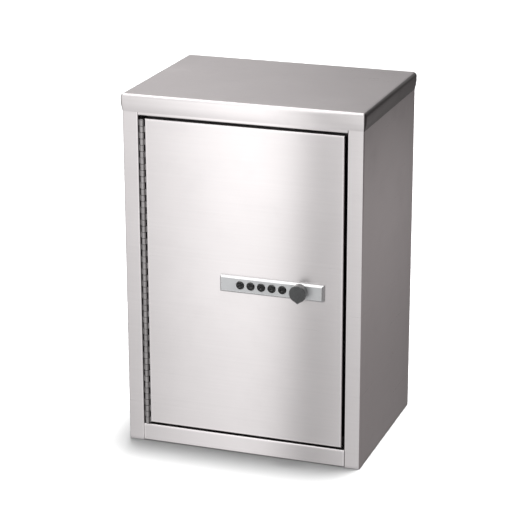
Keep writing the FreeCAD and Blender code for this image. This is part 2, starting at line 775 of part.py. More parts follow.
def button_spring(index):
    """Compression spring between the cap's underside and its seat in the chamber."""
    wire, mean, turns, clear = 0.3, 2.6, 6, 0.1
    start = number(f"{PLATE_FACE} - button_proud + 4.3") + wire + clear
    end = number(f"{CHAMBER_LAYER[0]} + 5") - wire - clear
    coil = Part.makeHelix((end - start) / turns, end - start, mean)
    outline = Part.Wire([Part.makeCircle(wire, FreeCAD.Vector(mean, 0, 0), FreeCAD.Vector(0, 1, 0))])
    spring = doc.addObject("Part::Feature", f"button_spring_{index + 1}_coil")
    spring.Shape = Part.Wire(coil.Edges).makePipeShell([outline], True, True)
    middle = FreeCAD.Vector(number(button_places()[index]), start, number("lock_rise"))
    spring.Placement = FreeCAD.Placement(middle, FreeCAD.Rotation(UPRIGHT, DIRECTIONS["y"]))
    part_of(f"button_spring_{index + 1}", spring)


def knob():
    """Round knob with a small blunt pointer at the bottom and a blind bore for the spindle."""
    body = doc.addObject("PartDesign::Body", "knob_body")
    lift = f"-({PLATE_FACE} - 0.15)"
    outline = sketch_on(body, "knob_outline", "XZ_Plane", lift)
    radius, nose, half = number("knob"), number("knob_nose"), number("knob_nose_half")
    middle = FreeCAD.Vector(number("knob_across"), number("lock_rise"), 0)
    low = -math.pi / 2
    reach = math.asin(half / radius)
    shoulder = math.cos(reach) * radius
    right = middle + FreeCAD.Vector(half, -shoulder, 0)
    left = middle + FreeCAD.Vector(-half, -shoulder, 0)
    point = middle - FreeCAD.Vector(0, nose, 0)
    disc = Part.Circle(middle, FreeCAD.Vector(0, 0, 1), radius)
    outline.addGeometry(Part.ArcOfCircle(disc, low + reach, low - reach + 2 * math.pi), False)
    outline.addGeometry(Part.LineSegment(left, point), False)
    outline.addGeometry(Part.LineSegment(point, right), False)
    for shape in range(3):
        outline.addConstraint(Sketcher.Constraint("Coincident", shape, 2, (shape + 1) % 3, 1))
    pin_point(outline, 0, 3, "knob_across", "lock_rise")
    pin_point(outline, 1, 2, "knob_across", "lock_rise - knob_nose")
    bound = outline.addConstraint(Sketcher.Constraint("Radius", 0, radius))
    outline.setExpression(f"Constraints[{bound}]", formula("knob"))
    for first, second in (((0, 3), (0, 1)), ((0, 2), (0, 3))):
        bound = outline.addConstraint(Sketcher.Constraint("DistanceX", *first, *second, half))
        outline.setExpression(f"Constraints[{bound}]", formula("knob_nose_half"))
    pad(body, "knob_pad", outline, "knob_thick")
    soften(body, "knob_point", "0.8", lambda edge: lies_at(edge, x=point.x, z=point.y))
    face = number(f"{PLATE_FACE} - 0.15 - knob_thick")
    soften(body, "knob_rim", "0.7", lambda edge: lies_at(edge, y=face), "Chamfer")
    bore = circles(body, "knob_bore", "XZ_Plane", "spindle", [("knob_across", "lock_rise")], lift=lift)
    pocket(body, "knob_bore_pocket", bore, "knob_thick - 2.5", reverse=True)
    part_of("knob", body)


def knob_spindle():
    start = f"({PLATE_FACE} - 0.15 - knob_thick + 2.5)"
    shaft = rod("spindle_shaft", "spindle", (start, CAM_LAYER[1]), "knob_across", "lock_rise")
    groove = (f"{DOOR_FACE} + 0.2", f"{DOOR_FACE} + 1.0")
    outer = rod("spindle_groove_outer", "spindle + 1", groove, "knob_across", "lock_rise")
    inner = rod("spindle_groove_inner", "spindle - 0.5", groove, "knob_across", "lock_rise")
    ring = cut("spindle_groove", outer, [inner])
    part_of("knob_spindle", cut("spindle_cut", shaft, [ring]))
    clip = rod("clip_disc", "5.4", groove, "knob_across", "lock_rise")
    bore = rod("clip_bore", "spindle - 0.5", groove, "knob_across", "lock_rise")
    open_end = ("lock_rise - 6", "lock_rise")
    mouth = box("clip_mouth", ("knob_across - 1.8", "knob_across + 1.8"), groove, open_end)
    part_of("spindle_clip", cut("clip_cut", clip, [bore, mouth]))


def latch_cam():
    """Disc on the spindle's inner end; its peg stands up and to the left when unlocked."""
    disc = rod("cam_disc", "11", CAM_LAYER, "knob_across", "lock_rise")
    bore = rod("cam_bore", "spindle", CAM_LAYER, "knob_across", "lock_rise")
    peg_place = (f"knob_across - {PEG_SIDE}", f"lock_rise + {PEG_SIDE}")
    peg_hole = rod("cam_peg_hole", "cam_peg", CAM_LAYER, *peg_place)
    part_of("latch_cam", cut("cam_cut", disc, [bore, peg_hole]))
    reach = (CAM_LAYER[0], f"{BOLT_LAYER[1]} - 0.3")
    part_of("cam_peg", rod("cam_peg_rod", "cam_peg", reach, *peg_place))


def latch_bolt():
    """Flat bolt with an upright slot for the cam's peg and a level slot for the guide."""
    nose_rise = ("lock_rise - bolt_half", "lock_rise + bolt_half")
    nose = box("bolt_nose", ("70", "bolt_tip"), BOLT_LAYER, nose_rise)
    tip = number("bolt_tip")
    nose_tip = rounded("bolt_rounded", nose, "0.8", lambda edge: lies_at(edge, x=tip))
    yoke = box("bolt_yoke", ("52", "74"), BOLT_LAYER, ("lock_rise - 3", "lock_rise + 14.5"))
    peg = f"(knob_across - {PEG_SIDE})"
    beyond = (f"{BOLT_LAYER[0]} - 1", f"{BOLT_LAYER[1]} + 1")
    upright = box(
        "bolt_peg_slot",
        (f"{peg} - cam_peg - 0.35", f"{peg} + cam_peg + 0.35"),
        beyond,
        (f"lock_rise + {PEG_SIDE} - cam_peg - 0.5", "lock_rise + cam_throw + cam_peg + 0.5"),
    )
    travel = f"(2 * {PEG_SIDE})"
    level = box(
        "bolt_guide_slot",
        (f"guide_place - {travel} - 2.4", f"guide_place + 2.4"),
        beyond,
        ("lock_rise - 2.1", "lock_rise + 2.1"),
    )
    part_of("latch_bolt", cut("bolt_cut", join("bolt_joined", [nose_tip, yoke]), [upright, level]))


def bolt_guide_rivet():
    """Shouldered rivet in the case's back wall that the bolt's level slot rides on."""
    front = BOLT_LAYER[0]
    spans = {
        "shoulder": ("2", f"{front} - 0.2", CASE_INSIDE),
        "head": ("3.4", f"{front} - 1.2", f"{front} - 0.2"),
        "shank": ("1.5", CASE_INSIDE, CASE_BACK),
        "tail": ("2.4", CASE_BACK, f"{CASE_BACK} + 0.8"),
    }
    turned = []
    for name, (radius, start, end) in spans.items():
        turned.append(rod("guide_" + name, radius, (start, end), "guide_place", "lock_rise"))
    part_of("bolt_guide_rivet", join("guide_joined", turned))


def change_plug():
    """Slotted plug over the screw that sets a new code."""
    shank = rod("plug_shank", "3.5", (f"{CASE_INSIDE} - 2", CASE_BACK), "plug_place", "lock_rise")
    head = rod("plug_head", "5", (CASE_BACK, f"{CASE_BACK} + 1.2"), "plug_place", "lock_rise")
    across = ("plug_place - 6", "plug_place + 6")
    slot_rise = ("lock_rise - 0.6", "lock_rise + 0.6")
    slot = box("plug_slot", across, (f"{CASE_BACK} + 0.6", f"{CASE_BACK} + 2"), slot_rise)
    part_of("change_plug", cut("plug_cut", join("plug_joined", [shank, head]), [slot]))


def strike_plate():
    inside = f"({JAMB} + gauge)"
    plate = box(
        "strike_blank",
        (inside, f"{inside} + 2"),
        (f"{FRONT} + 5", f"{FRONT} + 31"),
        ("lock_rise - 26", "lock_rise + 26"),
    )
    window = box(
        "strike_window",
        (f"{inside} - 1", f"{inside} + 3"),
        (f"{BOLT_LAYER[0]} - 1.4", f"{BOLT_LAYER[1]} + 1.4"),
        ("lock_rise - 7.5", "lock_rise + 7.5"),
    )
    cut_plate = cut("strike_cut", plate, [window])
    through = (f"{inside} - 1", f"{inside} + 3")
    drill_row("strike_plate", cut_plate, "fixing_hole", through, STRIKE_LINE, strike_heights())


# Interior

def shelf_standard(side_name, end_name, deep):
    """Slotted channel welded upright on a side wall."""
    side = SIDES[side_name]
    label = f"shelf_standard_{side_name}_{end_name}"
    body = new_body(label)
    wall = f"{side} * (width / 2 - gauge)"
    face = f"{side} * (width / 2 - gauge - 4)"
    inner = f"{side} * (width / 2 - gauge - 3)"
    outline = [
        (wall, f"{deep} - 7"),
        (face, f"{deep} - 7"),
        (face, f"{deep} + 7"),
        (wall, f"{deep} + 7"),
        (wall, f"{deep} + 6"),
        (inner, f"{deep} + 6"),
        (inner, f"{deep} - 6"),
        (wall, f"{deep} - 6"),
    ]
    profile = polygon(body, label + "_outline", "XY_Plane", outline, lift="40")
    pad(body, label + "_pad", profile, "290")
    return body


STANDARD_PLACES = {"front": -50, "rear": 74}
SLOT_PITCH = 19.5
SLOT_FOOT = 52.0


def standard_slots(side_name, end_name, body):
    """A ladder of slots for the shelf clips."""
    label = body.Label
    deep = STANDARD_PLACES[end_name]
    side = SIDES[side_name]
    slot = rectangle(
        body,
        label + "_slot",
        "YZ_Plane",
        (f"{deep} - 4", f"{deep} + 4"),
        (f"{SLOT_FOOT}", f"{SLOT_FOOT + 3.2}"),
        lift=f"{side} * (width / 2 - gauge - 3.5)",
    )
    slot_pocket = body.newObject("PartDesign::Pocket", label + "_slot_pocket")
    slot_pocket.Profile = slot
    slot_pocket.Length = 3
    slot_pocket.Midplane = True
    doc.recompute()
    row_of(body, label + "_slots", [slot_pocket], "Z_Axis", 14, f"{13 * SLOT_PITCH}")


def slot_below(level):
    """Height of the slot that holds a clip with its ledge just under a shelf."""
    return SLOT_FOOT + SLOT_PITCH * math.floor((level - SLOT_FOOT) / SLOT_PITCH)


def shelf_clips(name):
    """Four L clips, each hooked through one slot of a standard."""
    foot = number(f"shelf_{name} - shelf_edge")
    hook_level = slot_below(foot - 4) + 0.1
    pieces_of_clip = {
        "upright": (0, 1, hook_level, foot),
        "ledge": (0, 9, foot - 1, foot),
        "hook": (-2, 0.5, hook_level, hook_level + 1.5),
    }
    solids = []
    for side_name, side in SIDES.items():
        face = f"{side} * (width / 2 - gauge - 4)"
        for end_name, deep in STANDARD_PLACES.items():
            key = f"clip_{name}_{side_name}_{end_name}"
            depth = (f"{deep} - 3.8", f"{deep} + 3.8")
            bits = []
            for bit, (low, high, bottom, top) in pieces_of_clip.items():
                ends = [f"{face} - {side} * ({low})", f"{face} - {side} * {high}"]
                across = sorted(ends, key=number)
                bits.append(box(f"{key}_{bit}", across, depth, (f"{bottom}", f"{top}")))
            solids.append(join(key, bits))
    part_of(f"shelf_clips_{name}", group(f"shelf_clip_group_{name}", solids))


def shelf(name):
    """Pan-shaped shelf with its four edges turned down."""
    level = f"shelf_{name}"
    half = "(width / 2 - gauge - 5)"
    front = f"({FRONT} + 33)"
    rear = f"({BACK} - 2 * gauge - 1.5)"
    rise = (f"{level} - shelf_edge", level)
    outer = box(f"shelf_{name}_outer", (f"-{half}", half), (front, rear), rise)
    top = number(level)
    soft = rounded(f"shelf_{name}_folds", outer, "bend", lambda edge: lies_at(edge, z=top))
    hollow = box(
        f"shelf_{name}_hollow",
        (f"-{half} + gauge", f"{half} - gauge"),
        (f"{front} + gauge", f"{rear} - gauge"),
        (f"{level} - shelf_edge - 1", f"{level} - gauge"),
    )
    part_of(f"shelf_{name}", cut(f"shelf_{name}_pan", soft, [hollow]))


def door_bumpers(name, rise):
    """Two rubber discs on the rebate's lip, where the closed door comes to rest."""
    seat = f"({FRONT} + rebate - gauge)"
    discs = []
    for index, across in enumerate(("-80", "80")):
        discs.append(rod(f"bumper_{name}_{index}", "3.2", (f"{DOOR_REAR} + 0.05", seat), across, rise))
    part_of(f"door_bumpers_{name}", group(f"bumper_group_{name}", discs))


def build():
    left = side_panel("left")
    right = side_panel("right")
    jamb_left = (f"-{JAMB} - gauge - 1", f"-{JAMB} + 1")
    jamb_right = (f"{JAMB} - 1", f"{JAMB} + gauge + 1")
    drill_row("left_side_panel", left, "fixing_hole", jamb_left, RIVET_LINE, rivet_heights())
    drill_row("right_side_panel", right, "fixing_hole", jamb_right, STRIKE_LINE, strike_heights())
    header_rail()
    bottom_pan()
    back_panel()
    top_cap()
    door_skin()
    door_stiffener()
    hinge_leaf("hinge_leaf_frame", -1, 1)
    hinge_leaf("hinge_leaf_door", 1, 0)
    hinge_pin()
    leaf_heights = rivet_heights()
    frame_ends = (f"-{JAMB} + leaf", f"-{JAMB} - gauge")
    rivets("hinge_rivets_frame", *frame_ends, RIVET_LINE, leaf_heights, -1)
    door_ends = (f"{DOOR_LEFT} - leaf", f"{DOOR_LEFT} + gauge")
    rivets("hinge_rivets_door", *door_ends, RIVET_LINE, leaf_heights, 1)
    strike_ends = (JAMB, f"{JAMB} + gauge + 2")
    rivets("strike_rivets", *strike_ends, STRIKE_LINE, strike_heights(), 1)
    lock_faceplate()
    faceplate_screws()
    lock_case()
    case_fixings()
    code_chamber()
    for index in range(5):
        push_button(index)
        button_spring(index)
    knob()
    knob_spindle()
    latch_cam()
    latch_bolt()
    bolt_guide_rivet()
    change_plug()
    strike_plate()
    for side_name in SIDES:
        for end_name, deep in STANDARD_PLACES.items():
            standard = shelf_standard(side_name, end_name, deep)
            standard_slots(side_name, end_name, standard)
    for name in ("lower", "upper"):
        shelf_clips(name)
        shelf(name)
    door_bumpers("foot", "sill + 3.7")
    door_bumpers("head", "opening_top - 4.1")


def check_and_write():
    doc.recompute()
    for thing in doc.Objects:
        if {"Invalid", "Error"} & set(thing.State):
            raise ValueError(f"{thing.Name} failed: {thing.State}")
    os.makedirs("parts", exist_ok=True)
    for label, thing in pieces.items():
        if thing.Label != label:
            raise ValueError(f"{thing.Label} should be labelled {label}")
        shape = thing.Shape
        if shape.isNull() or not shape.isValid():
            raise ValueError(label + " has no valid shape")
        shape.exportStep(os.path.join("parts", label + ".step"))
        print(f"{label}: {len(shape.Solids)} solid(s), {shape.Volume:.0f} mm3")


build()
check_and_write()
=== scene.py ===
"""Studio picture of a sheet-steel security cabinet with a push-button lock on its door.

Metres, in the CAD model's frame: +Z up, the door faces -Y.
"""
import json
import math

import bpy
from mathutils import Matrix, Vector

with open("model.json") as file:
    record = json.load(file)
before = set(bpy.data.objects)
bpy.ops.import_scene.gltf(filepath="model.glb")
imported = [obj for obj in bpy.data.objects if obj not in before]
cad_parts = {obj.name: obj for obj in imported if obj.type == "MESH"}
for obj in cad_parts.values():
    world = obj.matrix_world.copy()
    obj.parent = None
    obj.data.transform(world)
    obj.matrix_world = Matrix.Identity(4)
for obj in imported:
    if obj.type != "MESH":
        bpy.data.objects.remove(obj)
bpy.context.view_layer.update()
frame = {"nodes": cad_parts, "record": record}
scene = bpy.context.scene


# Camera: lens and sensor in millimetres, angles in degrees

LENS = 138.45
SENSOR = 36.0
AZIMUTH = 19.23
ELEVATION = 18.59
ROLL = -0.07
DISTANCE = 2.19195
TARGET = Vector((-0.00688, 0.0, 0.17899))


def place_camera():
    """Looks at TARGET from AZIMUTH to the right of straight ahead and ELEVATION above it."""
    turn, rise = math.radians(AZIMUTH), math.radians(ELEVATION)
    level = math.cos(rise)
    back = Vector((math.sin(turn) * level, -math.cos(turn) * level, math.sin(rise)))
    right = Vector((0, 0, 1)).cross(back).normalized()
    up = back.cross(right)
    rotation = Matrix((right, up, back)).transposed().to_4x4()
    rotation = rotation @ Matrix.Rotation(math.radians(ROLL), 4, "Z")
    lens = bpy.data.cameras.new("studio_camera")
    lens.lens = LENS
    lens.sensor_width = SENSOR
    camera = bpy.data.objects.new("studio_camera", lens)
    camera.matrix_world = Matrix.Translation(TARGET + back * DISTANCE) @ rotation
    scene.collection.objects.link(camera)
    scene.camera = camera


# Shader nodes

class Nodes:
    """The nodes of one material or world, added one at a time.

    A node's input takes either a plain value or another node's output.
    """

    def __init__(self, holder):
        holder.use_nodes = True
        self.tree = holder.node_tree
        self.tree.nodes.clear()

    def feed(self, socket, value):
        """Links a socket to another node's output, or sets its plain value."""
        if isinstance(value, bpy.types.NodeSocket):
            self.tree.links.new(value, socket)
        else:
            socket.default_value = value

    def node(self, kind, inputs=None, **settings):
        """Adds a node; inputs go by name or number, and settings are its own options."""
        made = self.tree.nodes.new(kind)
        for name, value in settings.items():
            setattr(made, name, value)
        for key, value in (inputs or {}).items():
            self.feed(made.inputs[key], value)
        return made

    def calculate(self, operation, first, second=0.0, **settings):
        inputs = {0: first, 1: second}
        return self.node("ShaderNodeMath", inputs, operation=operation, **settings).outputs[0]

    def add(self, first, second, **settings):
        return self.calculate("ADD", first, second, **settings)

    def multiply(self, first, second):
        return self.calculate("MULTIPLY", first, second)

    def axes(self, vector):
        """A vector's X, Y and Z, by name."""
        return self.node("ShaderNodeSeparateXYZ", {0: vector}).outputs


class Recipe(Nodes):
    """A material built around one principled shader."""

    def __init__(self, name):
        self.material = bpy.data.materials.new(name)
        super().__init__(self.material)
        self.shader = self.node("ShaderNodeBsdfPrincipled")
        self.node("ShaderNodeOutputMaterial", {"Surface": self.shader.outputs["BSDF"]})
        coordinates = self.node("ShaderNodeTexCoord")
        self.place = coordinates.outputs["Object"]
        self.normal = coordinates.outputs["Normal"]

    def noise(self, scale, detail=3.0, roughness=0.55):
        """Soft noise about 0.5; scale is cells per metre, for all axes or for each of them."""
        if isinstance(scale, (int, float)):
            scale = (scale, scale, scale)
        inputs = {0: self.place, 1: scale}
        vector = self.node("ShaderNodeVectorMath", inputs, operation="MULTIPLY").outputs[0]
        inputs = {"Vector": vector, "Scale": 1.0, "Detail": detail, "Roughness": roughness}
        return self.node("ShaderNodeTexNoise", inputs).outputs["Fac"]

    def line_noise(self, place, scale):
        """Noise that changes along one coordinate only: ruled lines, scale of them per metre."""
        inputs = {"W": place, "Scale": scale, "Detail": 3.0, "Roughness": 0.6}
        return self.node("ShaderNodeTexNoise", inputs, noise_dimensions="1D").outputs["Fac"]

    def remap(self, value, new_low, new_high, low=0.3, high=0.7, **settings):
        """Brings low and high, by default where noise mostly lies, to the new ends and clamps there."""
        inputs = {0: value, 1: low, 2: high, 3: new_low, 4: new_high}
        return self.node("ShaderNodeMapRange", inputs, **settings).outputs[0]

    def blend(self, factor, first, second):
        """A colour, from first at 0 to second at 1."""
        inputs = {"Factor": factor, 6: first, 7: second}
        return self.node("ShaderNodeMix", inputs, data_type="RGBA").outputs[2]

    def choose(self, factor, first, second):
        """A vector, from first at 0 to second at 1."""
        inputs = {"Factor": factor, 4: first, 5: second}
        return self.node("ShaderNodeMix", inputs, data_type="VECTOR").outputs[1]

    def bump(self, height, strength, distance):
        """Surface normal tilted as if height stood out by distance in metres."""
        inputs = {"Height": height, "Strength": strength, "Distance": distance}
        return self.node("ShaderNodeBump", inputs).outputs["Normal"]

    def edge(self, radius, start=0.98, full=0.80):
        """0 on flat faces, rising to 1 on edges sharper than radius.

        start and full are cosines of the turn at which it begins and is whole.
        """
        soft = self.node("ShaderNodeBevel", {"Radius": radius}, samples=4).outputs["Normal"]
        hard = self.node("ShaderNodeNewGeometry").outputs["Normal"]
        turn = self.node("ShaderNodeVectorMath", {0: soft, 1: hard}, operation="DOT_PRODUCT")
        return self.remap(turn.outputs["Value"], 0.0, 1.0, start, full)

    def gap_shade(self, reach):
        """1 deep inside gaps narrower than reach, 0 in the open: the mask for painted shade in gaps."""
        open_sky = self.node("ShaderNodeAmbientOcclusion", {"Distance": reach}, samples=8)
        return self.remap(open_sky.outputs["AO"], 1.0, 0.0, 0.18, 0.78, interpolation_type="SMOOTHSTEP")

    def finish(self, **values):
        """Sets the shader's inputs by name and returns the material."""
        for name, value in values.items():
            self.feed(self.shader.inputs[name.replace("_", " ")], value)
        return self.material


# Materials

def grey(value, warmth=0.0):
    """Grey with a share of its blue moved to its red."""
    return (value * (1 + warmth), value, value * (1 - warmth), 1.0)


def stainless(value):
    """Steel's own tint: a little more red than green, and blue between them."""
    return (value * 1.03, value * 0.985, value * 0.988, 1.0)


# lines per metre, and cells per metre along X, Y and Z
HAIRLINES = 1900
STREAKS = 330
BROKEN_ON_WALLS = (14, 14, 420)
BROKEN_ON_TOP = (14, 420, 14)

# how squarely a face looks up or down to count as the top, and left or right for an end's painted shade
TOP_FACING = 0.8
END_BEGINS = 0.35
END_WHOLE = 0.6


def brushing(recipe, on_top, off_top):
    """The hairlines, and the hairlines mixed with broader and broken streaks, all about 0.5.

    They run level on the walls and from left to right across the top.
    """
    place = recipe.axes(recipe.place)
    up_walls = recipe.multiply(place["Z"], off_top)
    across_grain = recipe.add(up_walls, recipe.multiply(place["Y"], on_top))
    hair = recipe.line_noise(across_grain, HAIRLINES)
    streak = recipe.line_noise(across_grain, STREAKS)
    broken = recipe.noise(recipe.choose(on_top, BROKEN_ON_WALLS, BROKEN_ON_TOP), 3.0, 0.6)
    lines = recipe.add(recipe.multiply(hair, 0.35), recipe.multiply(streak, 0.3))
    return hair, recipe.add(lines, recipe.multiply(broken, 0.35))


def brushed_steel(name, tone, roughness, grain, smear, painted_end_shade=1.0, edge_light=0.0):
    """Stainless sheet brushed level on the walls and across the top.

    The end argument darkens its left and right faces with painted shade, and the edge argument
    brightens its edges with a painted highlight.
    """
    recipe = Recipe(name)
    facing = recipe.axes(recipe.normal)
    on_top = recipe.calculate("GREATER_THAN", recipe.calculate("ABSOLUTE", facing["Z"]), TOP_FACING)
    off_top = recipe.calculate("SUBTRACT", 1.0, on_top)
    sideways = recipe.calculate("ABSOLUTE", facing["X"])
    # painted shade: faces turned left or right are darkened towards the end factor
    painted_end_shading = recipe.remap(sideways, 1.0, painted_end_shade, END_BEGINS, END_WHOLE)
    hair, lines = brushing(recipe, on_top, off_top)
    lines = recipe.remap(lines, 1 - grain, 1 + grain)
    mottle = recipe.remap(recipe.noise(11, 4.0, 0.6), 0.975, 1.02)
    smudge = recipe.remap(recipe.noise(24, 5.0, 0.7), 0.0, 1.0, 0.52, 0.75)
    # painted highlight: edges brightened towards near-white steel
    lit = recipe.multiply(recipe.edge(0.003, 0.995, 0.9), edge_light)

    base = recipe.blend(smudge, stainless(tone), stainless(tone * (1 - smear)))
    base = recipe.blend(lit, base, stainless(0.97))
    # painted shade: gaps darkened towards a third of the tone
    base = recipe.blend(recipe.gap_shade(0.008), base, stainless(tone * 0.3))
    shade = recipe.multiply(recipe.multiply(lines, mottle), painted_end_shading)
    shaded = recipe.node("ShaderNodeVectorMath", {0: base, 1: shade}, operation="MULTIPLY")

    rough = recipe.remap(lines, roughness - 0.02, roughness + 0.02, 1 - grain, 1 + grain)
    stretch = recipe.node("ShaderNodeCombineXYZ", {0: 0.0, 1: on_top, 2: off_top})
    return recipe.finish(
        Base_Color=shaded.outputs[0],
        Metallic=1.0,
        Roughness=recipe.add(rough, recipe.multiply(smudge, 0.05)),
        Anisotropic=0.75,
        Tangent=stretch.outputs[0],
        Normal=recipe.bump(hair, 0.02, 0.0002),
    )


def drawn_steel(name, tone, roughness):
    """Steel of the hinge, rivets and springs: drawn upwards, with painted shade in its gaps."""
    recipe = Recipe(name)
    fine = recipe.noise((1600, 1600, 12))
    spots = recipe.remap(recipe.noise(90), 0.0, 1.0, 0.35, 0.65)
    worn = recipe.multiply(recipe.edge(0.0006), 0.6)
    colour = recipe.blend(spots, stainless(tone), stainless(tone * 0.82))
    colour = recipe.blend(worn, colour, stainless(tone * 1.3))
    # painted shade: gaps darkened nearly to black
    colour = recipe.blend(recipe.gap_shade(0.02), colour, stainless(tone * 0.12))
    return recipe.finish(
        Base_Color=colour,
        Metallic=1.0,
        Roughness=recipe.remap(fine, roughness - 0.05, roughness + 0.08),
        Normal=recipe.bump(fine, 0.08, 0.0003),
    )


def plated_steel(name, tone):
    """Zinc plate with its pale cloudy bloom."""
    recipe = Recipe(name)
    cloud = recipe.noise(160, 5.0, 0.65)
    cells = recipe.node("ShaderNodeTexVoronoi", {"Vector": recipe.place, "Scale": 420.0})
    spangle = recipe.remap(cells.outputs["Distance"], -0.04, 0.04, 0.1, 0.7)
    bloom = recipe.add(recipe.remap(cloud, 0.0, 1.0), spangle, use_clamp=True)
    worn = recipe.multiply(recipe.edge(0.0008), 0.5)
    colour = recipe.blend(bloom, grey(tone, 0.03), grey(tone * 0.8, -0.03))
    return recipe.finish(
        Base_Color=recipe.blend(worn, colour, grey(0.8)),
        Metallic=1.0,
        Roughness=recipe.remap(cloud, 0.3, 0.46),
        Normal=recipe.bump(cloud, 0.1, 0.0003),
    )


def cast_metal(name, tone):
    """Die-cast zinc with a fine sandy skin and bright arrises."""
    recipe = Recipe(name)
    sand = recipe.noise(2600, 3.0, 0.7)
    colour = recipe.blend(recipe.noise(110), grey(tone), grey(tone * 0.75, 0.03))
    return recipe.finish(
        Base_Color=recipe.blend(recipe.edge(0.0008), colour, grey(0.7)),
        Metallic=0.9,
        Roughness=recipe.remap(sand, 0.5, 0.66),
        Normal=recipe.bump(sand, 0.25, 0.0003),
    )


def satin_face(name, tone):
    """Lock's front plate: satin, finely lined along its length, polished and whitened by a painted
    highlight on its edges and upper bevel.
    """
    recipe = Recipe(name)
    fine = recipe.noise((14, 60, 2600), 3.0, 0.6)
    cloud = recipe.remap(recipe.noise(60), 0.0, 1.0)
    upward_painted_highlight = recipe.remap(recipe.axes(recipe.normal)["Z"], 0.0, 0.8, 0.3, 0.6)
    polish_and_painted_highlight = recipe.calculate("MAXIMUM", recipe.edge(0.0008, 0.99, 0.9), upward_painted_highlight)
    colour = recipe.blend(cloud, grey(tone, -0.01), grey(tone * 0.93, -0.014))
    rough = recipe.remap(fine, 0.48, 0.58)
    return recipe.finish(
        # painted highlight: edges and upward faces whitened; their lower roughness is real polish
        Base_Color=recipe.blend(polish_and_painted_highlight, colour, grey(1.0)),
        Metallic=1.0,
        Roughness=recipe.calculate("SUBTRACT", rough, recipe.multiply(polish_and_painted_highlight, 0.28)),
        Normal=recipe.bump(fine, 0.05, 0.0003),
    )


def painted(name, tone, roughness, wear_and_highlight_tone, shine, coat=0.0):
    """Satin paint with a fine orange peel, paler along its edges from wear and a painted highlight, and
    paler on its upper side from a painted highlight.
    """
    recipe = Recipe(name)
    peel = recipe.noise(1500)
    cloud = recipe.noise(140, 4.0)
    specks = recipe.remap(recipe.noise(3200, 2.0, 0.6), 0.0, 0.5, 0.68, 0.74)
    # edges paler partly from wear and partly from a painted highlight on rims and dimples
    worn = recipe.multiply(recipe.edge(0.0009), recipe.remap(cloud, 0.2, 0.9, 0.35, 0.6))
    # painted highlight: upward faces paler
    painted_top_highlight = recipe.remap(recipe.axes(recipe.normal)["Z"], 0.0, 0.85, 0.45, 0.9)
    wear_and_painted_highlight = recipe.calculate("MAXIMUM", recipe.calculate("MAXIMUM", worn, specks), painted_top_highlight)
    colour = recipe.blend(recipe.remap(cloud, 0.0, 1.0), grey(tone, -0.06), grey(tone * 0.8, -0.05))
    return recipe.finish(
        Base_Color=recipe.blend(wear_and_painted_highlight, colour, grey(wear_and_highlight_tone)),
        Metallic=0.0,
        Specular_IOR_Level=shine,
        Coat_Weight=coat,
        Coat_Roughness=0.12,
        Roughness=recipe.remap(peel, roughness - 0.05, roughness + 0.07),
        Normal=recipe.bump(peel, 0.08, 0.0002),
    )


def soft_rubber(name, tone):
    """Matt moulded rubber with a little dust in its grain."""
    recipe = Recipe(name)
    grain = recipe.noise(2200)
    dust = recipe.remap(recipe.noise(300, 4.0), 0.0, 0.4, 0.5, 0.8)
    return recipe.finish(
        Base_Color=recipe.blend(dust, grey(tone), grey(0.2)),
        Roughness=recipe.remap(grain, 0.75, 0.9),
        Normal=recipe.bump(grain, 0.2, 0.0002),
    )


SHEET = {"tone": 0.70, "roughness": 0.29, "grain": 0.025, "smear": 0.02}
INNER_SHEET = {"tone": 0.58, "roughness": 0.42, "grain": 0.05, "smear": 0.06}
KNOB = {"tone": 0.026, "roughness": 0.3, "wear_and_highlight_tone": 0.2, "shine": 0.5, "coat": 1.0}
BUTTON = {"tone": 0.006, "roughness": 0.35, "wear_and_highlight_tone": 0.3, "shine": 0.25}

MATERIALS = {
    "brushed_steel": (brushed_steel, SHEET),
    "edge_lit_steel": (brushed_steel, {**SHEET, "edge_light": 1.0}),
    # the cap's left and right ends are darkened by painted shade
    "cap_steel_painted_ends": (brushed_steel, {**SHEET, "painted_end_shade": 0.33}),
    "inner_steel": (brushed_steel, INNER_SHEET),
    "hinge_steel": (drawn_steel, {"tone": 0.38, "roughness": 0.36}),
    "rivet_steel": (drawn_steel, {"tone": 0.5, "roughness": 0.4}),
    "spring_steel": (drawn_steel, {"tone": 0.4, "roughness": 0.3}),
    "lock_face": (satin_face, {"tone": 0.60}),
    "zinc_plate": (plated_steel, {"tone": 0.62}),
    "cast_block": (cast_metal, {"tone": 0.4}),
    "knob_grey": (painted, KNOB),
    "button_black": (painted, BUTTON),
    "rubber": (soft_rubber, {"tone": 0.03}),
}

# nodes whose finish differs from the one that their slot names
FINISHES = {"top_cap": "cap_steel_painted_ends", "door_skin": "edge_lit_steel", "bottom_pan": "edge_lit_steel"}


def dress_nodes():
    """Gives every CAD node its own slot's material, or the one in FINISHES."""
    made = {name: make(name, **values) for name, (make, values) in MATERIALS.items()}
    for part in frame["record"]["subparts"]:
        holder = frame["nodes"][part["node"]]
        holder.data.materials.clear()
        finish = FINISHES.get(part["node"], part["material_slot"])
        holder.data.materials.append(made[finish])


# Studio

FLOOR_HALF = 6.0
FLOOR_LEVEL = -0.0004


def flat_panel(name, corners):
    """One four-cornered face that belongs to the studio, not to the cabinet."""
    mesh = bpy.data.meshes.new(name)
    mesh.from_pydata(corners, [], [(0, 1, 2, 3)])
    panel = bpy.data.objects.new(name, mesh)
    scene.collection.objects.link(panel)
    return panel


def make_floor():
    """Plain white floor, left out of reflections."""
    corners = []
    for across, deep in ((-1, -1), (1, -1), (1, 1), (-1, 1)):
        corners.append((across * FLOOR_HALF, deep * FLOOR_HALF, FLOOR_LEVEL))
    floor = flat_panel("floor", corners)
    recipe = Recipe("floor_white")
    colour = recipe.blend(recipe.noise(3, 2.0), grey(0.90), grey(0.88))
    floor.data.materials.append(recipe.finish(Base_Color=colour, Roughness=0.9))
    floor.visible_glossy = False


